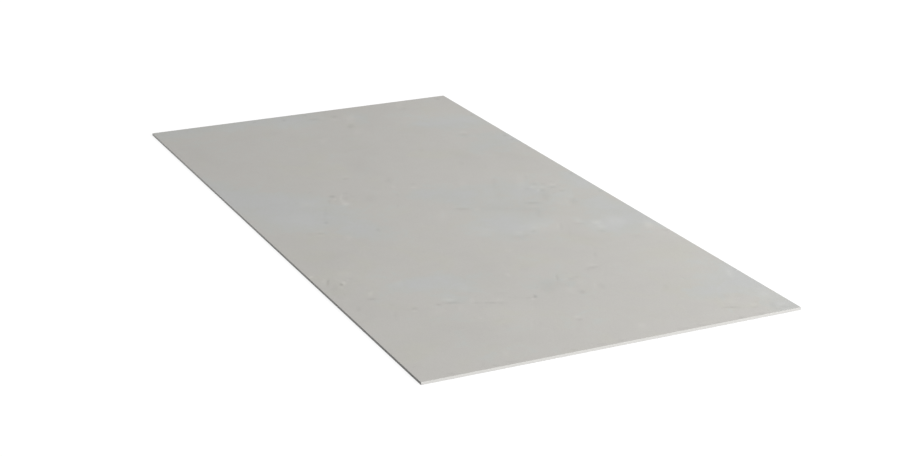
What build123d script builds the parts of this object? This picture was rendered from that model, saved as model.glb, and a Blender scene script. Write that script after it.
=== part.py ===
"""A wind barrier board: one flat sheet of fibre cement, sawn square on all four sides.

Lengths are in millimetres. The origin is the middle of the back face, which the sheet lies on.
+X runs across the sheet, +Y along it, and +Z up to the front face.
"""

import os

from build123d import *

# The sheet
board_width = 1200.0
board_length = 2400.0
board_thickness = 8.0

# Edges: the saw leaves sharp lines round both faces, which a light sanding breaks
arris_width = 0.6

# Corners: upright edges where two saw cuts meet, worn to a small radius by handling
corner_radius = 1.5

with BuildPart() as board:
    with BuildSketch(Plane.XY):
        Rectangle(board_width, board_length)
        fillet(vertices(), radius=corner_radius)
    extrude(amount=board_thickness)
    broad_faces = faces().filter_by(Axis.Z)
    chamfer(broad_faces.edges(), length=arris_width)

board.part.label = "board"

os.makedirs("parts", exist_ok=True)
export_step(board.part, "parts/board.step")
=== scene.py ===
import math
import random

import bpy
import numpy as np
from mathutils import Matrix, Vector, noise
from mathutils.geometry import delaunay_2d_cdt


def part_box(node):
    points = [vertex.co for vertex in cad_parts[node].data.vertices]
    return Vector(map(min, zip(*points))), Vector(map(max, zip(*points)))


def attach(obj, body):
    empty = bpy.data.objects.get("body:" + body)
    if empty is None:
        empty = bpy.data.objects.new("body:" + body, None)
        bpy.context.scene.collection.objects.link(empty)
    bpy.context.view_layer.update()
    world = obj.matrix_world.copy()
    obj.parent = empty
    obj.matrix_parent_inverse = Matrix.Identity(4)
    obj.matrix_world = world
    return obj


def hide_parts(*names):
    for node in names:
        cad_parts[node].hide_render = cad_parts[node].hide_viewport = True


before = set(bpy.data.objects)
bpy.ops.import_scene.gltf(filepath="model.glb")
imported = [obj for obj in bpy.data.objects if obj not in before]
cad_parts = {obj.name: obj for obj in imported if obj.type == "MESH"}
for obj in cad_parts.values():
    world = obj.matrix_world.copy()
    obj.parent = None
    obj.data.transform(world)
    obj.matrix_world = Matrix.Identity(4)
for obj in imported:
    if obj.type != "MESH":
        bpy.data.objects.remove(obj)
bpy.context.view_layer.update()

# Metres, in the row frame: the board lies on its back face, with +X across it, +Y along it and +Z up.
# Places on the board are shares: across from its left edge and along from its front edge, 0 to 1.
MM = 0.001
LOW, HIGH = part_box("board")
WIDTH, LENGTH, THICKNESS = HIGH - LOW
RIM_SEED, MARK_SEED, WARP_SEED = 5, 11, 3

# The sheet's materials, in the order in which its mesh holds them
FACE, EDGE, BACK = 0, 1, 2

# The rim: rows of quads round all four edges, from a loop on the front face to one on the back face
CORNER_RADIUS, CORNER_STEPS = 1.5 * MM, 4
RIM_STEP = 4 * MM
LOOP_INSET = 1.4 * MM

# The broken arris: its width, how that wavers, the wear at the corners, and nicks
ARRIS, ARRIS_LEAST_SHARE, ARRIS_MOST = 0.5 * MM, 0.5, 1.2 * MM
ARRIS_SPREAD, ARRIS_WAVES_PER_METRE, ARRIS_DRIFT = 0.12 * MM, 40, 0.2
CORNER_WEAR, CORNER_WEAR_REACH = 0.4 * MM, 6 * MM
ARRIS_TURNS = 3
NICKS = 46
NICK_HALF_LENGTHS = (4 * MM, 9 * MM)
NICK_DEPTHS = (0.15 * MM, 0.6 * MM)

# The sawn edge between the arrises: laminae, each with saw marks of its own
LAMINAE, LAMINA_DEPTH = 7, 0.05 * MM
SAW_DEPTH, SAW_WAVES_PER_METRE, SAW_SHIFT = 0.05 * MM, 90, 3.7

# The faces: points that crowd together round the marks and thin out elsewhere. The fine points end
# at MARK_REACH half sizes from a mark's middle, and the mark itself fades out before MARK_END.
FINE_STEP, COARSE_STEP, BACK_STEP = 3 * MM, 16 * MM, 32 * MM
STEP_GROWTH = 1.5
STEP_SLOPE = 0.35
MARK_REACH, MARK_END, STEP_PER_HALF = 1.35, 2.5, 0.5
RIM_GAP_SHARE, JITTER_SHARE = 0.6, 0.12
TRIANGLES_INSIDE, SAME_POINT = 1, 1e-7

# The marks that show on the front face, by their heading in degrees from +X. Each has its place
# across and along, its length, width and depth in mm, and its tone: dark below 0 and pale above.
# The tone is partly the marks' own colour and partly painted light: painted shade in the dents, and
# painted highlight in the pale marks beside them.
MARKS = {
    -25: [
        # Far end
        (0.023, 0.745, 41, 64, 0.05, 0.02),
        (0.300, 0.983, 15, 26, 0.06, 0.04),
        (0.326, 0.987, 11, 16, 0.16, -0.08),
        (0.345, 0.920, 45, 50, 0.08, -0.02),
        (0.419, 0.978, 10, 18, 0.16, -0.08),
        (0.451, 0.849, 22, 49, 0.06, 0.05),
        (0.498, 0.988, 14, 16, 0.16, -0.08),
        (0.502, 0.963, 23, 24, 0.20, -0.05),
        (0.520, 0.962, 30, 24, 0.26, -0.05),
        (0.536, 0.964, 15, 26, 0.06, 0.055),
        (0.565, 0.991, 12, 13, 0.16, -0.08),
        (0.570, 0.947, 31, 26, 0.06, 0.05),
        (0.580, 0.965, 22, 24, 0.26, -0.06),
        (0.582, 0.873, 22, 63, 0.05, 0.03),
        (0.586, 0.905, 21, 46, 0.42, -0.08),
        (0.593, 0.873, 34, 88, 0.03, 0.015),
        (0.605, 0.925, 30, 30, 0.12, 0.03),
        (0.625, 0.948, 29, 66, 0.08, 0.05),
        (0.687, 0.748, 15, 35, 0.10, -0.025),
        (0.815, 0.957, 23, 33, 0.16, -0.04),
        (0.826, 0.982, 24, 69, 0.06, 0.055),
        (0.870, 0.789, 33, 27, 0.42, -0.06),
        (0.882, 0.803, 22, 20, 0.10, 0.065),
        (0.929, 0.778, 52, 27, 0.08, -0.02),
        (0.963, 0.986, 18, 18, 0.30, -0.10),
        (0.982, 0.759, 11, 17, 0.16, -0.08),
        (0.986, 0.738, 11, 20, 0.16, -0.08),
        (0.986, 0.879, 8, 21, 0.16, -0.08),
        # Middle, on the left
        (0.114, 0.479, 16, 29, 0.14, -0.02),
        (0.137, 0.468, 18, 9, 0.08, 0.04),
        (0.144, 0.476, 20, 13, 0.36, -0.06),
        (0.155, 0.484, 19, 23, 0.05, 0.035),
        (0.172, 0.599, 10, 30, 0.12, -0.03),
        (0.187, 0.512, 14, 20, 0.42, -0.09),
        (0.192, 0.525, 26, 22, 0.08, -0.02),
        (0.195, 0.591, 47, 35, 0.05, 0.025),
        (0.201, 0.447, 19, 40, 0.06, 0.05),
        (0.213, 0.546, 10, 68, 0.12, -0.025),
        (0.214, 0.543, 14, 39, 0.12, -0.015),
        (0.239, 0.637, 15, 16, 0.18, -0.03),
        (0.260, 0.589, 10, 32, 0.20, -0.05),
        (0.283, 0.594, 8, 14, 0.08, 0.08),
        (0.283, 0.607, 17, 22, 0.50, -0.14),
        (0.293, 0.457, 12, 26, 0.16, -0.055),
        (0.294, 0.581, 9, 26, 0.12, 0.08),
        (0.296, 0.571, 20, 32, 0.20, 0.13),
        (0.303, 0.598, 7, 51, 0.15, 0.11),
        (0.315, 0.591, 13, 30, 0.14, -0.035),
        (0.329, 0.612, 16, 12, 0.14, -0.045),
        (0.335, 0.596, 12, 18, 0.14, -0.035),
        (0.373, 0.578, 30, 61, 0.15, -0.03),
        (0.375, 0.670, 18, 14, 0.40, -0.07),
        (0.386, 0.681, 18, 14, 0.12, 0.06),
        (0.418, 0.533, 11, 28, 0.18, -0.03),
        # Middle, on the right
        (0.455, 0.575, 11, 24, 0.18, -0.03),
        (0.473, 0.609, 12, 26, 0.10, 0.07),
        (0.483, 0.637, 17, 53, 0.16, -0.04),
        (0.497, 0.470, 26, 96, 0.06, 0.035),
        (0.524, 0.594, 22, 16, 0.10, 0.075),
        (0.534, 0.609, 16, 16, 0.18, -0.05),
        (0.567, 0.485, 40, 17, 0.45, -0.075),
        (0.605, 0.474, 16, 29, 0.08, 0.05),
        (0.664, 0.581, 21, 63, 0.05, 0.035),
        (0.679, 0.457, 145, 29, 0.05, -0.02),
        (0.712, 0.513, 30, 82, 0.06, -0.02),
        (0.742, 0.664, 14, 38, 0.10, -0.03),
        (0.744, 0.426, 16, 68, 0.12, -0.03),
        (0.750, 0.566, 17, 85, 0.10, -0.03),
        (0.757, 0.452, 36, 18, 0.08, 0.04),
        (0.767, 0.466, 42, 20, 0.48, -0.08),
        (0.808, 0.521, 16, 22, 0.20, -0.03),
        (0.818, 0.550, 24, 127, 0.05, 0.045),
        (0.824, 0.480, 22, 71, 0.20, -0.035),
        (0.834, 0.510, 9, 31, 0.12, 0.08),
        (0.834, 0.525, 19, 21, 0.12, 0.10),
        (0.838, 0.450, 20, 40, 0.05, 0.03),
        (0.842, 0.507, 16, 23, 0.20, -0.05),
        (0.847, 0.537, 17, 17, 0.22, -0.05),
        (0.854, 0.520, 15, 17, 0.10, 0.09),
        (0.854, 0.569, 12, 18, 0.24, -0.03),
        (0.860, 0.451, 10, 60, 0.05, 0.03),
        (0.870, 0.531, 16, 17, 0.22, -0.05),
        (0.879, 0.449, 20, 50, 0.34, -0.05),
        (0.880, 0.513, 22, 16, 0.45, -0.07),
        (0.891, 0.494, 20, 16, 0.36, -0.065),
        (0.892, 0.470, 20, 35, 0.06, 0.03),
        (0.893, 0.524, 22, 16, 0.12, 0.09),
        (0.988, 0.689, 8, 14, 0.16, -0.08),
        (0.989, 0.555, 10, 15, 0.16, -0.08),
        (0.990, 0.471, 10, 15, 0.16, -0.08),
        # The smears towards the right edge
        (0.540, 0.315, 19, 30, 0.05, 0.035),
        (0.549, 0.387, 38, 55, 0.04, 0.025),
        (0.608, 0.353, 44, 32, 0.16, -0.035),
        (0.625, 0.369, 22, 18, 0.12, 0.08),
        (0.663, 0.365, 14, 18, 0.34, -0.05),
        (0.681, 0.377, 18, 14, 0.08, 0.04),
        (0.710, 0.375, 70, 62, 0.04, 0.02),
        (0.742, 0.369, 10, 56, 0.06, 0.04),
        (0.748, 0.365, 8, 56, 0.12, -0.035),
        (0.751, 0.346, 11, 92, 0.10, -0.02),
        (0.804, 0.366, 26, 14, 0.28, -0.05),
        (0.814, 0.377, 18, 38, 0.12, 0.06),
        (0.830, 0.328, 18, 14, 0.34, -0.06),
        (0.847, 0.343, 26, 24, 0.10, 0.08),
        (0.852, 0.360, 26, 32, 0.12, 0.105),
        (0.893, 0.292, 32, 27, 0.08, -0.02),
        (0.903, 0.352, 49, 85, 0.10, 0.05),
        (0.970, 0.324, 26, 52, 0.10, 0.085),
        (0.984, 0.295, 19, 18, 0.14, -0.05),
        # By the left edge
        (0.008, 0.337, 8, 16, 0.08, 0.13),
        (0.026, 0.316, 8, 34, 0.12, 0.06),
        (0.028, 0.244, 23, 53, 0.05, 0.03),
        (0.030, 0.288, 16, 60, 0.08, -0.03),
        (0.032, 0.312, 8, 48, 0.42, -0.08),
        (0.034, 0.217, 12, 28, 0.22, -0.05),
        (0.052, 0.289, 10, 14, 0.10, 0.06),
        (0.058, 0.299, 8, 18, 0.60, -0.21),
        (0.067, 0.301, 12, 28, 0.18, 0.14),
        (0.074, 0.309, 10, 10, 0.26, -0.05),
        (0.085, 0.309, 8, 10, 0.08, 0.05),
        (0.089, 0.240, 26, 15, 0.45, -0.08),
        (0.091, 0.311, 22, 14, 0.20, -0.03),
        (0.093, 0.329, 36, 40, 0.05, 0.04),
        (0.101, 0.256, 12, 32, 0.12, 0.08),
        (0.102, 0.266, 10, 14, 0.20, -0.03),
        (0.116, 0.213, 12, 22, 0.12, -0.02),
        # The row of scratches across the near end
        (0.101, 0.183, 9, 72, 0.08, -0.02),
        (0.144, 0.191, 29, 13, 0.12, -0.025),
        (0.152, 0.183, 14, 12, 0.08, 0.05),
        (0.158, 0.192, 15, 17, 0.36, -0.06),
        (0.190, 0.274, 21, 47, 0.06, 0.035),
        (0.207, 0.173, 26, 44, 0.05, 0.035),
        (0.219, 0.191, 14, 12, 0.38, -0.07),
        (0.252, 0.189, 43, 13, 0.42, -0.09),
        (0.256, 0.199, 28, 16, 0.10, 0.08),
        (0.261, 0.170, 14, 37, 0.05, 0.025),
        (0.266, 0.191, 16, 14, 0.16, -0.03),
        (0.277, 0.133, 14, 29, 0.05, 0.03),
        (0.307, 0.186, 12, 18, 0.10, 0.05),
        (0.308, 0.176, 16, 12, 0.22, -0.05),
        (0.318, 0.211, 14, 16, 0.16, -0.02),
        (0.320, 0.219, 21, 46, 0.05, 0.02),
        (0.337, 0.170, 35, 12, 0.42, -0.08),
        (0.361, 0.163, 16, 12, 0.22, -0.05),
        (0.370, 0.172, 24, 20, 0.10, 0.05),
        (0.388, 0.191, 30, 14, 0.20, -0.03),
        (0.409, 0.170, 29, 23, 0.08, -0.02),
        (0.435, 0.164, 20, 9, 0.28, -0.05),
        (0.443, 0.157, 12, 14, 0.10, 0.06),
        (0.454, 0.165, 11, 22, 0.55, -0.14),
        (0.460, 0.240, 10, 24, 0.10, 0.06),
        (0.506, 0.178, 32, 62, 0.12, -0.03),
        (0.520, 0.198, 42, 40, 0.10, -0.02),
        (0.520, 0.254, 24, 49, 0.12, -0.03),
        (0.553, 0.165, 24, 39, 0.05, 0.035),
        (0.561, 0.207, 8, 44, 0.34, -0.06),
        (0.571, 0.153, 17, 26, 0.42, -0.08),
        (0.577, 0.198, 24, 16, 0.05, 0.04),
        (0.588, 0.197, 18, 13, 0.34, -0.05),
        (0.602, 0.183, 21, 48, 0.05, 0.035),
        (0.624, 0.166, 7, 38, 0.10, 0.06),
        (0.634, 0.159, 15, 39, 0.26, -0.035),
        (0.682, 0.230, 21, 21, 0.05, 0.03),
        (0.690, 0.225, 24, 20, 0.05, 0.04),
        (0.728, 0.256, 10, 43, 0.18, -0.04),
        (0.848, 0.138, 12, 24, 0.10, -0.02),
        (0.999, 0.139, 9, 13, 0.16, -0.08),
        # Near edge and right corner
        (0.020, 0.042, 13, 25, 0.08, -0.02),
        (0.166, 0.017, 16, 32, 0.08, -0.025),
        (0.237, 0.029, 16, 46, 0.05, 0.04),
        (0.304, 0.096, 17, 35, 0.08, -0.02),
        (0.369, 0.091, 8, 35, 0.05, 0.025),
        (0.389, 0.088, 8, 31, 0.08, -0.02),
        (0.481, 0.080, 13, 20, 0.32, -0.055),
        (0.488, 0.087, 17, 19, 0.06, 0.06),
        (0.598, 0.033, 22, 32, 0.06, 0.05),
        (0.776, 0.125, 12, 31, 0.10, -0.025),
        (0.847, 0.036, 42, 13, 0.45, -0.08),
        (0.869, 0.069, 23, 31, 0.08, -0.03),
        (0.871, 0.050, 35, 30, 0.08, 0.04),
        (0.897, 0.024, 18, 13, 0.32, -0.05),
        (0.909, 0.032, 20, 15, 0.06, 0.05),
        (0.911, 0.064, 23, 39, 0.08, -0.02),
        (0.945, 0.020, 14, 45, 0.14, -0.05),
        (0.964, 0.011, 23, 15, 0.18, -0.05),
        (0.969, 0.053, 29, 62, 0.05, 0.04),
        (0.969, 0.129, 17, 57, 0.10, 0.075),
        (0.971, 0.020, 23, 15, 0.06, 0.05),
        (0.988, 0.009, 23, 23, 0.08, -0.04),
    ],
    -10: [
        (0.078, 0.007, 21, 7, 0.14, -0.06),
        (0.186, 0.007, 16, 8, 0.14, -0.06),
        (0.231, 0.007, 27, 8, 0.14, -0.06),
        (0.385, 0.007, 22, 8, 0.14, -0.06),
        (0.457, 0.007, 22, 8, 0.14, -0.06),
        (0.508, 0.006, 22, 8, 0.14, -0.06),
        (0.606, 0.199, 20, 13, 0.28, -0.05),
        (0.676, 0.006, 34, 8, 0.14, -0.06),
        (0.726, 0.006, 25, 9, 0.14, -0.06),
        (0.769, 0.004, 12, 9, 0.12, -0.06),
        (0.832, 0.005, 20, 10, 0.16, -0.07),
        (0.891, 0.005, 26, 10, 0.16, -0.08),
        (0.945, 0.008, 22, 10, 0.12, -0.05),
    ],
    12: [
        (0.675, 0.218, 42, 17, 0.36, -0.07),
    ],
}

# A mark's half size for each size above, how flat its bottom is, and how its outline is warped
HALF_PER_SIZE = 0.6
MARK_FLATNESS = 1.2
MARK_WARP, MARK_WARP_SIZE = 2.5 * MM, 14 * MM

# Crumbs between them, smaller pits and scrapes: across, along, radius in metres, how many
CRUMBS = [
    (0.300, 0.590, 0.045, 8),
    (0.560, 0.962, 0.060, 8),
    (0.870, 0.785, 0.035, 4),
    (0.475, 0.635, 0.035, 4),
    (0.165, 0.500, 0.045, 5),
    (0.855, 0.510, 0.080, 20),
    (0.640, 0.365, 0.040, 5),
    (0.870, 0.345, 0.060, 6),
    (0.060, 0.285, 0.075, 20),
    (0.240, 0.195, 0.060, 8),
    (0.370, 0.178, 0.060, 9),
    (0.520, 0.185, 0.060, 9),
    (0.610, 0.195, 0.070, 9),
    (0.890, 0.050, 0.090, 12),
    (0.510, 0.270, 0.060, 5),
]
PIT_SHARE, PIT_SLIMNESS = 0.6, (1.0, 1.8)
PIT_HALVES, PIT_DEPTHS, PIT_TONES = (3.0 * MM, 5.5 * MM), (0.06 * MM, 0.16 * MM), (-0.035, -0.01)
SCRAPE_HALF_LENGTHS, SCRAPE_HALF_WIDTHS = (6 * MM, 15 * MM), (2.5 * MM, 4.0 * MM)
SCRAPE_DEPTHS, SCRAPE_TONES = (0.04 * MM, 0.10 * MM), (0.005, 0.03)

# Clouds, cool at the rim and blue in the core: across, along, half extents in shares, strength
CLOUDS = [
    (0.120, 0.605, 0.110, 0.055, 1.1),
    (0.150, 0.530, 0.110, 0.042, 1.0),
    (0.260, 0.465, 0.060, 0.040, 0.9),
    (0.030, 0.665, 0.070, 0.050, 0.9),
    (0.000, 0.740, 0.040, 0.035, 0.6),
    (0.530, 0.562, 0.055, 0.022, 1.0),
    (0.610, 0.535, 0.070, 0.030, 1.0),
    (0.700, 0.550, 0.060, 0.025, 0.5),
    (0.790, 0.520, 0.060, 0.045, 1.0),
    (0.590, 0.500, 0.050, 0.030, 0.4),
    (0.700, 0.480, 0.060, 0.030, 0.4),
    (0.755, 0.430, 0.045, 0.030, 0.4),
    (0.975, 0.530, 0.040, 0.045, 0.8),
    (0.860, 0.720, 0.050, 0.022, 0.8),
    (0.630, 0.400, 0.090, 0.045, 1.1),
    (0.965, 0.385, 0.075, 0.045, 0.65),
    (1.000, 0.335, 0.030, 0.030, 0.6),
    (0.900, 0.345, 0.085, 0.032, 1.0),
    (0.930, 0.440, 0.060, 0.050, 0.4),
    (0.230, 0.262, 0.070, 0.022, 1.0),
    (0.330, 0.248, 0.080, 0.028, 0.9),
    (0.290, 0.203, 0.060, 0.022, 0.5),
    (0.550, 0.200, 0.090, 0.040, 0.3),
    (0.850, 0.090, 0.050, 0.025, 0.9),
    (0.970, 0.100, 0.070, 0.038, 1.3),
    (1.000, 0.170, 0.040, 0.050, 0.5),
    (0.990, 0.015, 0.060, 0.032, 1.0),
    (0.810, 0.868, 0.045, 0.022, 0.9),
    (0.920, 0.848, 0.080, 0.032, 1.0),
    (0.970, 0.745, 0.070, 0.035, 0.9),
    (0.200, 0.985, 0.220, 0.026, 0.8),
    (0.440, 0.965, 0.070, 0.040, 0.9),
    (0.660, 0.940, 0.050, 0.040, 0.5),
]

# Warmer patches, yellowish grey, in the same way
WARMTH = [
    (0.330, 0.750, 0.060, 0.060, 0.7),
    (0.700, 0.715, 0.050, 0.020, 0.6),
    (0.080, 0.420, 0.100, 0.050, 0.6),
    (0.370, 0.370, 0.140, 0.050, 0.6),
    (0.560, 0.265, 0.070, 0.022, 0.8),
    (0.720, 0.310, 0.080, 0.025, 0.8),
    (0.920, 0.220, 0.055, 0.050, 1.2),
    (0.820, 0.120, 0.060, 0.050, 0.8),
    (0.720, 0.050, 0.060, 0.030, 0.8),
    (0.050, 0.080, 0.050, 0.030, 0.7),
    (0.330, 0.120, 0.060, 0.025, 0.7),
    (0.900, 0.950, 0.040, 0.030, 0.6),
    (0.920, 0.600, 0.060, 0.040, 0.4),
]

# Lighter and darker patches: across, along, half extents in shares, strength
PATCHES = [
    (0.500, 0.000, 1.500, 0.110, 0.4),
    (0.600, 1.000, 1.000, 0.260, 0.25),
    (0.850, 0.000, 0.200, 0.090, 0.2),
    (0.500, 0.450, 0.600, 0.180, -0.2),
    (0.300, 0.250, 0.100, 0.035, 0.4),
    (0.900, 0.390, 0.120, 0.080, -0.3),
    (0.950, 0.850, 0.070, 0.050, 0.4),
    (0.200, 0.560, 0.140, 0.060, -0.2),
    (0.130, 0.530, 0.060, 0.040, 0.8),
    (0.190, 0.590, 0.035, 0.020, 0.7),
    (0.690, 0.380, 0.055, 0.022, 1.2),
    (0.780, 0.395, 0.050, 0.020, 0.7),
    (0.560, 0.395, 0.040, 0.020, 0.5),
    (0.840, 0.348, 0.040, 0.020, 0.9),
    (0.905, 0.357, 0.040, 0.020, 0.8),
    (0.990, 0.310, 0.040, 0.030, 1.0),
    (0.350, 0.135, 0.080, 0.050, 0.8),
    (0.920, 0.150, 0.110, 0.080, 0.1),
    (0.200, 0.970, 0.150, 0.030, 0.8),
    (0.410, 0.950, 0.090, 0.045, 1.2),
    (0.820, 0.895, 0.080, 0.035, 0.7),
    (0.620, 0.945, 0.030, 0.020, 0.9),
    (0.950, 0.950, 0.080, 0.060, 0.8),
    (0.660, 0.475, 0.060, 0.014, -0.8),
    (0.740, 0.450, 0.050, 0.022, -1.0),
    (0.830, 0.495, 0.035, 0.030, -0.7),
    (0.540, 0.188, 0.060, 0.018, -0.8),
    (0.430, 0.260, 0.035, 0.050, -0.5),
    (0.100, 0.385, 0.060, 0.022, -0.7),
    (0.050, 0.440, 0.060, 0.035, -0.4),
    (0.460, 0.710, 0.040, 0.050, -1.0),
    (0.520, 0.800, 0.040, 0.060, -0.6),
    (0.785, 0.690, 0.035, 0.035, -0.8),
    (0.070, 0.880, 0.035, 0.050, -0.8),
    (0.200, 0.110, 0.070, 0.070, -0.7),
    (0.040, 0.260, 0.050, 0.050, -0.5),
    (0.920, 0.680, 0.060, 0.070, -0.9),
]

# Colours are linear. The tints multiply the cement's own: cool round each cloud, blue in its core,
# and warm in the patches between them.
CEMENT = (0.504, 0.492, 0.4675)
EDGE_CEMENT = (0.502, 0.496, 0.479)
COOL_TINT = (0.976, 1.004, 1.005)
BLUE_TINT = (0.974, 1.004, 1.041)
WARM_TINT = (0.998, 1.003, 0.974)
COOL_RANGE, BLUE_RANGE, WARM_RANGE = (0.15, 0.50), (0.30, 1.20), (0.0, 1.0)
CLOUD_SHARES = {"cloud": 1.0, "drift": 1.0, "curdle": 2.4}
WARMTH_SHARES = {"warmth": 1.0, "warm": 4.0, "curdle": 1.5}

# The noises of the materials: the size in metres of what each shows, and how it is broken up
CEMENT_NOISES = {
    "drift": {"size": 0.30, "detail": 3.0, "roughness": 0.6, "warp": 0.6},
    "curdle": {"size": 0.07, "detail": 4.0, "roughness": 0.65, "warp": 0.8},
    "warm": {"size": 0.17, "detail": 3.0, "roughness": 0.6, "warp": 1.0},
}
FACE_NOISES = {
    "grain": {"size": 1.4 * MM, "detail": 2.0, "roughness": 0.6},
    "fleck": {"size": 12 * MM, "detail": 3.0, "roughness": 0.7},
    "mark_break": {"size": 3.5 * MM, "detail": 3.0},
}
EDGE_NOISES = {
    "lamina": {"size": 10 * MM, "detail": 2.0, "roughness": 0.6, "stretch": (0.15, 0.15, 9.0)},
    "fibre": {"size": 1.8 * MM, "detail": 3.0, "roughness": 0.7},
}
BACK_NOISES = {
    "thread": {"size": 2.4 * MM, "detail": 1.0, "stretch": (1.0, 0.45, 1.0)},
    "cross_thread": {"size": 3.0 * MM, "detail": 1.0, "stretch": (0.4, 1.0, 1.0)},
}

# Fine texture of the front face: fibres in the cement and pinholes where bubbles broke
FIBRE = {"size": 0.7 * MM, "detail": 0.0, "stretch": (0.10, 1.0, 1.0)}
FIBRE_RANGE = (0.14, 0.24)
FIBRE_HEADINGS = {"pale_fibre": 84, "dark_fibre": 97, "cross_fibre": 140}
PORE_PITCH, PORE_MOST = 7 * MM, 0.09
PORE_CHANCE = 0.5

# What darkens or lightens each surface, what raises or lowers it, and what makes it rougher
FACE_TONES = {
    "patch": 0.034, "drift": 0.07, "curdle": 0.08, "fleck": 0.012, "grain": 0.05, "mark": 1.0,
    "pale_fibre": 0.04, "dark_fibre": -0.04, "cross_fibre": 0.03, "pore": -0.22,
}
MARK_BREAK_SHARE = 2.4
FACE_HEIGHTS = {"grain": 1.0, "fleck": 1.2, "pale_fibre": 0.2, "cross_fibre": 0.2, "pore": -0.8}
FACE_BUMP = {"strength": 0.18, "distance": 0.25 * MM}
FACE_ROUGHNESS, FACE_ROUGHENING = 0.72, {"wear": 1.2, "fleck": 0.18, "curdle": 0.10}
FACE_GLOSS = 0.3
EDGE_TONES = {"lamina": 0.16, "fibre": 0.12}
EDGE_HEIGHTS = {"lamina": 1.0, "fibre": 0.8}
EDGE_BUMP = {"strength": 0.5, "distance": 0.25 * MM}
EDGE_ROUGHNESS, EDGE_ROUGHENING = 0.55, {"fibre": 0.15}
BACK_TONE = 0.97
BACK_TONES = {"drift": 0.06, "curdle": 0.06, "thread": 0.08, "cross_thread": 0.05}
BACK_HEIGHTS = {"thread": 1.0, "cross_thread": 0.8}
BACK_BUMP = {"strength": 0.6, "distance": 0.35 * MM}
BACK_ROUGHNESS, BACK_ROUGHENING = 0.82, {"thread": 0.2}

# The camera, solved from the four straight edges of the board's face
CAMERA_PLACE = (-2.3983, -5.1269, 2.0357)
CAMERA_YAW, CAMERA_PITCH = 0.43464, 0.35472
IMAGE_WIDTH = 900
FOCAL_PIXELS = 1823.86
MIDDLE_PIXEL = 429.50
SENSOR = 36.0

# Lights: where each shines from in degrees, how far off, how wide, and its share of the face's light
LIGHTS = {
    "key": {"azimuth": 25, "elevation": 22, "distance": 18.0, "size": 5.0, "share": 0.486},
    "side": {"azimuth": 80, "elevation": 40, "distance": 4.2, "size": 2.0, "share": 0.196},
}
AMBIENT = 0.262

# The floor: how much it throws back from its near to its far end, and how it looks to the camera
NEAR_BOUNCE, FAR_BOUNCE = 0.20, 0.95
FLOOR_GLOW, FLOOR_CATCH = 0.92, 0.13
FLOOR_DROP = 0.2 * MM
FLOOR_RADIUS, FLOOR_SIDES = 30.0, 96
SHADE_RADIUS, SHADE_END = 2.2, 4.4


def in_metres(across, along):
    """The place of two shares on the board."""
    return LOW.x + across * WIDTH, LOW.y + along * LENGTH


def rim_columns():
    """Points round the board's outline, anticlockwise from above, each with its outward direction."""
    reach_x, reach_y = WIDTH / 2 - CORNER_RADIUS, LENGTH / 2 - CORNER_RADIUS
    corners = [(reach_x, -reach_y), (reach_x, reach_y), (-reach_x, reach_y), (-reach_x, -reach_y)]
    columns = []
    for index, (x, y) in enumerate(corners):
        start = -math.pi / 2 + index * math.pi / 2
        for step in range(CORNER_STEPS):
            turn = start + (step + 0.5) / CORNER_STEPS * math.pi / 2
            out = (math.cos(turn), math.sin(turn))
            columns.append((x + CORNER_RADIUS * out[0], y + CORNER_RADIUS * out[1], *out))
        next_x, next_y = corners[(index + 1) % 4]
        run = math.dist((x, y), (next_x, next_y))
        out = (math.cos(start + math.pi / 2), math.sin(start + math.pi / 2))
        steps = round(run / RIM_STEP)
        for step in range(steps + 1):
            share = step / steps
            along_x, along_y = x + share * (next_x - x), y + share * (next_y - y)
            columns.append((along_x + CORNER_RADIUS * out[0], along_y + CORNER_RADIUS * out[1], *out))
    return np.array(columns)


def wave(x, y, waves_per_metre, level):
    """Smooth noise about 0 at a place, which changes with the level too."""
    return noise.noise(Vector((x * waves_per_metre, y * waves_per_metre, level)))


def arris_widths(columns, chance):
    """How wide the broken arris is at each column: uneven, with nicks, and widest at the corners."""
    places = columns[:, :2]
    widths = np.array([
        ARRIS + ARRIS_SPREAD * wave(x, y, ARRIS_WAVES_PER_METRE, chance.random() * ARRIS_DRIFT)
        for x, y in places
    ])
    for _ in range(NICKS):
        middle = places[chance.randrange(len(places))]
        half = chance.uniform(*NICK_HALF_LENGTHS)
        depth = chance.uniform(*NICK_DEPTHS)
        away = np.hypot(*(places - middle).T)
        widths += depth * np.clip(1 - away / half, 0, 1)
    corner_gap = np.hypot(WIDTH / 2 - abs(places[:, 0]), LENGTH / 2 - abs(places[:, 1]))
    widths += CORNER_WEAR * np.exp(-((corner_gap / CORNER_WEAR_REACH) ** 2))
    return np.clip(widths, ARRIS * ARRIS_LEAST_SHARE, ARRIS_MOST)


def rim_vertices(columns, chance):
    """The rim's vertices, one row after another from the front face down to the back face."""
    front, back = arris_widths(columns, chance), arris_widths(columns, chance)
    turns = [math.pi / 2 * k / ARRIS_TURNS for k in range(ARRIS_TURNS + 1)]
    rows = [(np.full(len(columns), LOOP_INSET), np.zeros(len(columns)))]
    rows += [(front * (1 - math.sin(t)), front * (1 - math.cos(t))) for t in turns]
    for row in range(1, LAMINAE):
        drop = front + row / LAMINAE * (THICKNESS - front - back)
        groove = LAMINA_DEPTH * chance.random()
        saw = [SAW_DEPTH * (0.5 + 0.5 * wave(x, y, SAW_WAVES_PER_METRE, row * SAW_SHIFT))
               for x, y in columns[:, :2]]
        rows.append((groove + np.array(saw), drop))
    rows += [(back * (1 - math.sin(t)), THICKNESS - back * (1 - math.cos(t))) for t in reversed(turns)]
    rows.append((np.full(len(columns), LOOP_INSET), np.full(len(columns), THICKNESS)))
    vertices = []
    for inset, drop in rows:
        x = columns[:, 0] - columns[:, 2] * inset
        y = columns[:, 1] - columns[:, 3] * inset
        vertices.append(np.stack([x, y, HIGH.z - drop], axis=1))
    return np.concatenate(vertices), len(rows)


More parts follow.
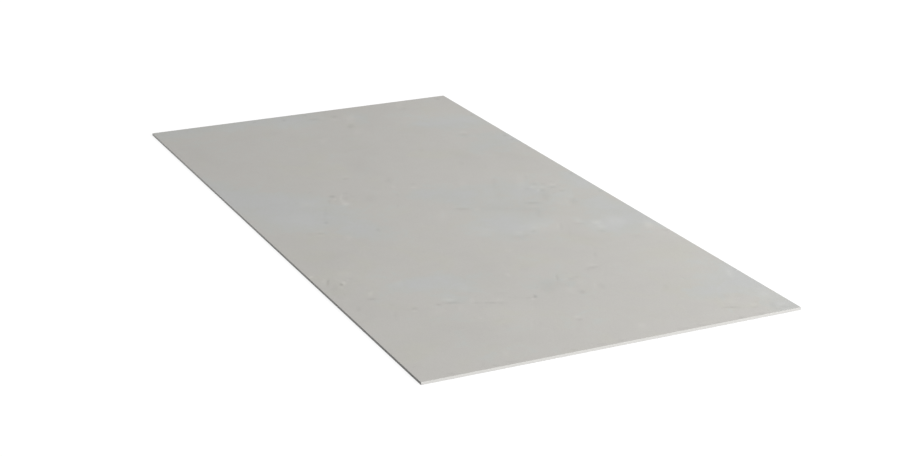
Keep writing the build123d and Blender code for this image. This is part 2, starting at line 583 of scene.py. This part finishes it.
def rings_off(x, y, mark):
    """How far places lie from a mark's middle, squared, where its outline is at 1."""
    (at_x, at_y), heading, half_length, half_width, _, _ = mark
    dx, dy = x - at_x, y - at_y
    ahead = (dx * math.cos(heading) + dy * math.sin(heading)) / half_length
    aside = (dy * math.cos(heading) - dx * math.sin(heading)) / half_width
    return ahead ** 2 + aside ** 2


def spacing(x, y, marks, coarse):
    """How far apart the face's points are at a place: close round the marks and at the rim."""
    rim_gap = np.minimum(WIDTH / 2 - abs(x), LENGTH / 2 - abs(y))
    wanted = RIM_STEP + STEP_SLOPE * rim_gap
    for mark in marks:
        narrow = min(mark[2], mark[3])
        gap = (np.sqrt(rings_off(x, y, mark)) - MARK_REACH) * narrow
        finest = max(FINE_STEP, narrow * STEP_PER_HALF)
        wanted = np.minimum(wanted, finest + STEP_SLOPE * np.maximum(gap, 0))
    return np.minimum(wanted, coarse)


def face_points(marks, coarse, chance):
    """Points inside the rim, from triangular grids whose steps grow from the finest to the coarsest."""
    reach_x, reach_y = WIDTH / 2 - LOOP_INSET, LENGTH / 2 - LOOP_INSET
    points = []
    step = FINE_STEP
    while True:
        last = step * STEP_GROWTH > coarse
        pitch = coarse if last else step
        rise = pitch * math.sqrt(3) / 2
        ys, xs = np.mgrid[-reach_y:reach_y:rise, -reach_x:reach_x:pitch]
        xs = xs + (np.arange(len(ys)) % 2)[:, None] * pitch / 2
        xs, ys = xs.ravel(), ys.ravel()
        wanted = spacing(xs, ys, marks, coarse)
        keep = wanted >= pitch
        if not last:
            keep &= wanted < pitch * STEP_GROWTH
        inside = np.minimum(reach_x - abs(xs), reach_y - abs(ys)) > pitch * RIM_GAP_SHARE
        chosen = np.stack([xs, ys], axis=1)[keep & inside]
        jitter = np.array([(chance.uniform(-1, 1), chance.uniform(-1, 1)) for _ in chosen])
        points.append(chosen + jitter.reshape(-1, 2) * pitch * JITTER_SHARE)
        if last:
            return np.concatenate(points)
        step *= STEP_GROWTH


def fill_face(ring, points):
    """Triangles over a face, whose numbers count the ring's points first and then the inner ones."""
    flat = [Vector(p) for p in np.concatenate([ring, points])]
    loop = [(i, (i + 1) % len(ring)) for i in range(len(ring))]
    _, _, triangles, sources, _, _ = delaunay_2d_cdt(flat, loop, [], TRIANGLES_INSIDE, SAME_POINT)
    index = [source[0] for source in sources]
    return [[index[i] for i in triangle] for triangle in triangles]


def crumb_marks(across, along, radius, count, chance):
    """Small pits and scrapes at random round a place, as marks."""
    at_x, at_y = in_metres(across, along)
    marks = []
    for _ in range(count):
        away, turn = radius * math.sqrt(chance.random()), chance.uniform(0, 2 * math.pi)
        middle = (at_x + away * math.cos(turn), at_y + away * math.sin(turn))
        heading = chance.uniform(0, math.pi)
        if chance.random() < PIT_SHARE:
            half = chance.uniform(*PIT_HALVES)
            halves = (half * chance.uniform(*PIT_SLIMNESS), half)
            depth, tone = chance.uniform(*PIT_DEPTHS), chance.uniform(*PIT_TONES)
        else:
            halves = (chance.uniform(*SCRAPE_HALF_LENGTHS), chance.uniform(*SCRAPE_HALF_WIDTHS))
            depth, tone = chance.uniform(*SCRAPE_DEPTHS), chance.uniform(*SCRAPE_TONES)
        marks.append((middle, heading, *halves, depth, tone))
    return marks


def make_marks(chance):
    """Every mark and crumb: middle, direction, half length, half width, depth and tone."""
    marks = []
    for heading, rows in MARKS.items():
        for across, along, length, width, depth, tone in rows:
            halves = (length * HALF_PER_SIZE * MM, width * HALF_PER_SIZE * MM)
            marks.append((in_metres(across, along), math.radians(heading), *halves, depth * MM, tone))
    for crumbs in CRUMBS:
        marks += crumb_marks(*crumbs, chance)
    return marks


def warped(x, y):
    """The places moved a little, in the same way each run, so that the marks have ragged outlines."""
    noise.seed_set(WARP_SEED)
    shift = np.array([
        noise.noise_vector(Vector((px / MARK_WARP_SIZE, py / MARK_WARP_SIZE, 0.0)))[:2]
        for px, py in zip(x, y)
    ])
    return x + MARK_WARP * shift[:, 0], y + MARK_WARP * shift[:, 1]


def mark_fields(x, y, marks):
    """The depth of the marks at each place, and their tone: how much darker or paler they are,
    partly by painted shade in the dents and painted highlight beside them.
    """
    x, y = warped(x, y)
    depth, tone = np.zeros(len(x)), np.zeros(len(x))
    for mark in marks:
        (at_x, at_y), _, half_length, half_width, deep, shade = mark
        reach = MARK_END * max(half_length, half_width)
        near = np.flatnonzero((abs(x - at_x) < reach) & (abs(y - at_y) < reach))
        amount = np.exp(-(rings_off(x[near], y[near], mark) ** MARK_FLATNESS))
        depth[near] += deep * amount
        tone[near] += shade * amount
    return depth, tone


def spot_field(x, y, table):
    """The sum of soft elliptical spots given in shares."""
    total = np.zeros(len(x))
    for across, along, half_across, half_along, strength in table:
        at_x, at_y = in_metres(across, along)
        away = np.hypot((x - at_x) / (half_across * WIDTH), (y - at_y) / (half_along * LENGTH))
        total += strength * np.exp(-(away ** 2))
    return total


def add_field(mesh, name, values):
    attribute = mesh.attributes.new(name, "FLOAT", "POINT")
    attribute.data.foreach_set("value", np.asarray(values, dtype=np.float32))


def sheet_faces(rim, row_count, front_points, back_points):
    """Every face by its vertices' numbers, with its material: the rim's quads, then the flat faces."""
    around = len(rim) // row_count
    faces, slots = [], []
    for row, slot in enumerate([FACE] + [EDGE] * (row_count - 3) + [BACK]):
        top, below = row * around, (row + 1) * around
        for i in range(around):
            j = (i + 1) % around
            faces.append((top + i, below + i, below + j, top + j))
            slots.append(slot)
    front_start = len(rim)
    back_start = front_start + len(front_points)
    last_ring = (row_count - 1) * around
    for triangle in fill_face(rim[:around, :2], front_points):
        faces.append(tuple(i if i < around else i - around + front_start for i in triangle))
        slots.append(FACE)
    for triangle in fill_face(rim[last_ring:, :2], back_points):
        ids = [i + last_ring if i < around else i - around + back_start for i in triangle]
        faces.append(tuple(reversed(ids)))
        slots.append(BACK)
    return faces, slots


def make_board():
    """The sheet as one closed mesh, inside the box of the CAD node that it stands for."""
    chance = random.Random(RIM_SEED)
    rim, row_count = rim_vertices(rim_columns(), chance)
    marks = make_marks(random.Random(MARK_SEED))
    front_points = face_points(marks, COARSE_STEP, chance)
    back_points = face_points([], BACK_STEP, chance)
    depth, _ = mark_fields(*front_points.T, marks)
    front = np.column_stack([front_points, HIGH.z - depth])
    back = np.column_stack([back_points, np.full(len(back_points), LOW.z)])
    vertices = np.concatenate([rim, front, back])
    faces, slots = sheet_faces(rim, row_count, front_points, back_points)

    mesh = bpy.data.meshes.new("board_sheet")
    mesh.from_pydata(vertices.tolist(), [], faces)
    mesh.polygons.foreach_set("material_index", slots)
    mesh.polygons.foreach_set("use_smooth", [True] * len(faces))
    x, y = vertices[:, 0], vertices[:, 1]
    # The marks' tone is partly their own colour and partly painted shade and painted highlight
    _, tone = mark_fields(x, y, marks)
    add_field(mesh, "mark_tone_and_painted_light", tone)
    for name, table in (("cloud", CLOUDS), ("warmth", WARMTH), ("patch", PATCHES)):
        add_field(mesh, name, spot_field(x, y, table))
    mesh.validate()
    board = bpy.data.objects.new("board_sheet", mesh)
    bpy.context.scene.collection.objects.link(board)
    for material in (face_material(), edge_material(), back_material()):
        mesh.materials.append(material)
    return board


class Nodes:
    """A material's node tree, with short calls for the nodes that these materials use."""

    def __init__(self, name):
        self.material = bpy.data.materials.new(name)
        self.material.use_nodes = True
        self.tree = self.material.node_tree
        self.shader = self.tree.nodes["Principled BSDF"]
        self.place = self.add("ShaderNodeTexCoord").outputs["Object"]

    def add(self, kind, **settings):
        made = self.tree.nodes.new(kind)
        for key, value in settings.items():
            setattr(made, key, value)
        return made

    def join(self, source, socket):
        if isinstance(source, bpy.types.NodeSocket):
            self.tree.links.new(source, socket)
        else:
            socket.default_value = source

    def math(self, operation, first, second=0.0):
        made = self.add("ShaderNodeMath", operation=operation)
        self.join(first, made.inputs[0])
        self.join(second, made.inputs[1])
        return made.outputs[0]

    def noise(self, size, detail=2.0, roughness=0.5, warp=0.0, stretch=(1, 1, 1), place=None):
        """Noise about 0, from -0.5 to 0.5, with features of that size in metres."""
        scaled = self.add("ShaderNodeVectorMath", operation="MULTIPLY")
        self.join(place or self.place, scaled.inputs[0])
        scaled.inputs[1].default_value = stretch
        made = self.add("ShaderNodeTexNoise")
        self.join(scaled.outputs[0], made.inputs["Vector"])
        made.inputs["Scale"].default_value = 1 / size
        made.inputs["Detail"].default_value = detail
        made.inputs["Roughness"].default_value = roughness
        made.inputs["Distortion"].default_value = warp
        return self.math("SUBTRACT", made.outputs["Fac"], 0.5)

    def noises(self, table):
        return {name: self.noise(**settings) for name, settings in table.items()}

    def turned(self, angle):
        """The place turned about +Z, so that what runs along +X in it heads that way on the board."""
        made = self.add("ShaderNodeVectorRotate", rotation_type="Z_AXIS")
        self.join(self.place, made.inputs["Vector"])
        made.inputs["Angle"].default_value = -angle
        return made.outputs["Vector"]

    def field(self, name):
        return self.add("ShaderNodeAttribute", attribute_name=name).outputs["Fac"]

    def ramp(self, value, low, high, to_low=0.0, to_high=1.0, smooth=True):
        made = self.add("ShaderNodeMapRange", interpolation_type="SMOOTHSTEP" if smooth else "LINEAR")
        for source, name in ((value, "Value"), (low, "From Min"), (high, "From Max"),
                             (to_low, "To Min"), (to_high, "To Max")):
            self.join(source, made.inputs[name])
        return made.outputs["Result"]

    def blend(self, share, first, second):
        made = self.add("ShaderNodeMix", data_type="RGBA")
        self.join(share, made.inputs["Factor"])
        self.join(first, made.inputs[6])
        self.join(second, made.inputs[7])
        return made.outputs[2]

    def scaled(self, colour, factor):
        made = self.add("ShaderNodeVectorMath", operation="SCALE")
        self.join(colour, made.inputs[0])
        self.join(factor, made.inputs["Scale"])
        return made.outputs[0]

    def total(self, shares, parts):
        """The sum of the named parts, each times its share."""
        result = None
        for name, share in shares.items():
            term = self.math("MULTIPLY", parts[name], share)
            result = term if result is None else self.math("ADD", result, term)
        return result

    def colour_by(self, colour, tones, parts, base=1.0):
        """The shader's colour, made darker or lighter by the parts."""
        shade = self.math("ADD", self.total(tones, parts), base)
        self.join(self.scaled(colour, shade), self.shader.inputs["Base Color"])

    def roughen(self, base, shares, parts):
        self.join(self.math("ADD", self.total(shares, parts), base), self.shader.inputs["Roughness"])

    def bump(self, heights, parts, strength, distance):
        made = self.add("ShaderNodeBump")
        self.join(self.total(heights, parts), made.inputs["Height"])
        made.inputs["Strength"].default_value = strength
        made.inputs["Distance"].default_value = distance
        self.join(made.outputs["Normal"], self.shader.inputs["Normal"])


def rgba(colour):
    return (*colour, 1.0)


def tinted(tint):
    return rgba(tuple(base * share for base, share in zip(CEMENT, tint)))


def cement_colour(nodes):
    """The cement's colour with its clouds and warm patches, and the noises that break it up."""
    parts = nodes.noises(CEMENT_NOISES)
    parts["cloud"], parts["warmth"] = nodes.field("cloud"), nodes.field("warmth")
    cloud, warmth = nodes.total(CLOUD_SHARES, parts), nodes.total(WARMTH_SHARES, parts)
    colour = nodes.blend(nodes.ramp(warmth, *WARM_RANGE), rgba(CEMENT), tinted(WARM_TINT))
    colour = nodes.blend(nodes.ramp(cloud, *COOL_RANGE), colour, tinted(COOL_TINT))
    colour = nodes.blend(nodes.ramp(cloud, *BLUE_RANGE), colour, tinted(BLUE_TINT))
    return colour, parts


def fibres(nodes, heading):
    """Short fibres that head one way: 1 where one lies."""
    streak = nodes.noise(**FIBRE, place=nodes.turned(math.radians(heading)))
    return nodes.ramp(streak, *FIBRE_RANGE)


def pores(nodes):
    """Pinholes: 1 inside each, and 0 in the cement between them."""
    cells = nodes.add("ShaderNodeTexVoronoi", voronoi_dimensions="2D")
    nodes.join(nodes.place, cells.inputs["Vector"])
    cells.inputs["Scale"].default_value = 1 / PORE_PITCH
    chance = nodes.add("ShaderNodeSeparateColor")
    nodes.join(cells.outputs["Color"], chance.inputs["Color"])
    radius = nodes.ramp(chance.outputs["Red"], PORE_CHANCE, 1.0, 0.0, PORE_MOST, smooth=False)
    return nodes.ramp(nodes.math("SUBTRACT", radius, cells.outputs["Distance"]), 0.0, PORE_MOST / 2)


def face_material():
    """The front face: smooth cement with its marks, whose tone the mesh carries. Part of that tone is
    painted shade and painted highlight.
    """
    nodes = Nodes("fibre_cement_face")
    colour, parts = cement_colour(nodes)
    parts |= nodes.noises(FACE_NOISES)
    parts["patch"], parts["pore"] = nodes.field("patch"), pores(nodes)
    for name, heading in FIBRE_HEADINGS.items():
        parts[name] = fibres(nodes, heading)
    # The marks darken and lighten the face: partly their own colour, partly painted shade and highlight
    tone = nodes.field("mark_tone_and_painted_light")
    broken = nodes.math("MULTIPLY", parts["mark_break"], MARK_BREAK_SHARE)
    parts["mark"] = nodes.math("MULTIPLY", tone, nodes.math("ADD", broken, 1.0))
    parts["wear"] = nodes.math("ABSOLUTE", tone)
    nodes.colour_by(colour, FACE_TONES, parts)
    nodes.roughen(FACE_ROUGHNESS, FACE_ROUGHENING, parts)
    nodes.shader.inputs["Specular IOR Level"].default_value = FACE_GLOSS
    nodes.bump(FACE_HEIGHTS, parts, **FACE_BUMP)
    return nodes.material


def edge_material():
    """The sawn edge: thin laminae, and fibres that the saw has pulled."""
    nodes = Nodes("fibre_cement_edge")
    parts = nodes.noises(EDGE_NOISES)
    nodes.colour_by(EDGE_CEMENT, EDGE_TONES, parts)
    nodes.roughen(EDGE_ROUGHNESS, EDGE_ROUGHENING, parts)
    nodes.bump(EDGE_HEIGHTS, parts, **EDGE_BUMP)
    return nodes.material


def back_material():
    """The back: the print of the felt that carried the wet sheet."""
    nodes = Nodes("fibre_cement_back")
    colour, parts = cement_colour(nodes)
    parts |= nodes.noises(BACK_NOISES)
    nodes.colour_by(colour, BACK_TONES, parts, base=BACK_TONE)
    nodes.roughen(BACK_ROUGHNESS, BACK_ROUGHENING, parts)
    nodes.bump(BACK_HEIGHTS, parts, **BACK_BUMP)
    return nodes.material


def shown_directly(tree):
    """1 for rays that see a thing, straight or by mirror or glass, and 0 for the light it throws."""
    path = tree.nodes.new("ShaderNodeLightPath")
    total = path.outputs["Is Camera Ray"]
    for name in ("Is Glossy Ray", "Is Transmission Ray"):
        most = tree.nodes.new("ShaderNodeMath")
        most.operation = "MAXIMUM"
        tree.links.new(total, most.inputs[0])
        tree.links.new(path.outputs[name], most.inputs[1])
        total = most.outputs[0]
    return total


def floor_as_seen(nodes):
    """White but for the board's shadow: a glow, a little weaker near the board, and a matte part."""
    away = nodes.add("ShaderNodeVectorMath", operation="LENGTH")
    nodes.join(nodes.place, away.inputs[0])
    strength = nodes.ramp(away.outputs["Value"], SHADE_RADIUS, SHADE_END, FLOOR_GLOW, 1.0)
    matte = nodes.add("ShaderNodeBsdfDiffuse")
    matte.inputs["Color"].default_value = rgba((FLOOR_CATCH,) * 3)
    glow = nodes.add("ShaderNodeEmission")
    nodes.join(strength, glow.inputs["Strength"])
    seen = nodes.add("ShaderNodeAddShader")
    nodes.join(matte.outputs[0], seen.inputs[0])
    nodes.join(glow.outputs[0], seen.inputs[1])
    return seen.outputs[0]


def floor_as_thrown(nodes):
    """What the floor throws back on the board: more towards the board's far end."""
    along = nodes.add("ShaderNodeSeparateXYZ")
    nodes.join(nodes.place, along.inputs[0])
    thrown = nodes.add("ShaderNodeBsdfDiffuse")
    bounce = nodes.ramp(along.outputs["Y"], LOW.y, HIGH.y, NEAR_BOUNCE, FAR_BOUNCE, smooth=False)
    nodes.join(bounce, thrown.inputs["Color"])
    return thrown.outputs[0]


def make_floor():
    """A floor that is white to the camera but for the board's shadow, and duller in what it throws."""
    bpy.ops.mesh.primitive_circle_add(vertices=FLOOR_SIDES, radius=FLOOR_RADIUS, fill_type="NGON",
                                      location=(0, 0, LOW.z - FLOOR_DROP))
    floor = bpy.context.object
    floor.name = "floor"
    nodes = Nodes("floor")
    nodes.tree.nodes.remove(nodes.shader)
    choose = nodes.add("ShaderNodeMixShader")
    nodes.join(shown_directly(nodes.tree), choose.inputs[0])
    nodes.join(floor_as_thrown(nodes), choose.inputs[1])
    nodes.join(floor_as_seen(nodes), choose.inputs[2])
    nodes.join(choose.outputs[0], nodes.tree.nodes["Material Output"].inputs["Surface"])
    floor.data.materials.append(nodes.material)


def make_world():
    """White where it is seen, and a dimmer even light from all round."""
    world = bpy.data.worlds.new("studio")
    world.use_nodes = True
    bpy.context.scene.world = world
    tree = world.node_tree
    strength = tree.nodes.new("ShaderNodeMapRange")
    tree.links.new(shown_directly(tree), strength.inputs["Value"])
    strength.inputs["To Min"].default_value = AMBIENT
    strength.inputs["To Max"].default_value = 1.0
    background = tree.nodes["Background"]
    background.inputs["Color"].default_value = (1, 1, 1, 1)
    tree.links.new(strength.outputs["Result"], background.inputs["Strength"])


def make_light(name, azimuth, elevation, distance, size, share):
    """A soft lamp that gives the middle of the face that share of full light."""
    turn, rise = math.radians(azimuth), math.radians(elevation)
    way = Vector((math.sin(turn) * math.cos(rise), -math.cos(turn) * math.cos(rise), math.sin(rise)))
    data = bpy.data.lights.new(name, "AREA")
    data.shape = "DISK"
    data.size = size
    data.energy = share * math.pi * math.pi * distance ** 2 / math.sin(rise)
    lamp = bpy.data.objects.new(name, data)
    lamp.location = Vector((0, 0, HIGH.z)) + way * distance
    lamp.rotation_euler = way.to_track_quat("Z", "Y").to_euler()
    bpy.context.scene.collection.objects.link(lamp)


def make_camera():
    data = bpy.data.cameras.new("camera")
    data.sensor_width = SENSOR
    data.lens = FOCAL_PIXELS / IMAGE_WIDTH * SENSOR
    data.shift_x = (IMAGE_WIDTH / 2 - MIDDLE_PIXEL) / IMAGE_WIDTH
    camera = bpy.data.objects.new("camera", data)
    camera.location = CAMERA_PLACE
    camera.rotation_euler = (math.pi / 2 - CAMERA_PITCH, 0, -CAMERA_YAW)
    bpy.context.scene.collection.objects.link(camera)
    bpy.context.scene.camera = camera


make_camera()
make_world()
make_floor()
for light_name, settings in LIGHTS.items():
    make_light(light_name, **settings)
board = make_board()
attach(board, "root")
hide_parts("board")
bpy.context.scene.view_settings.view_transform = "Standard"
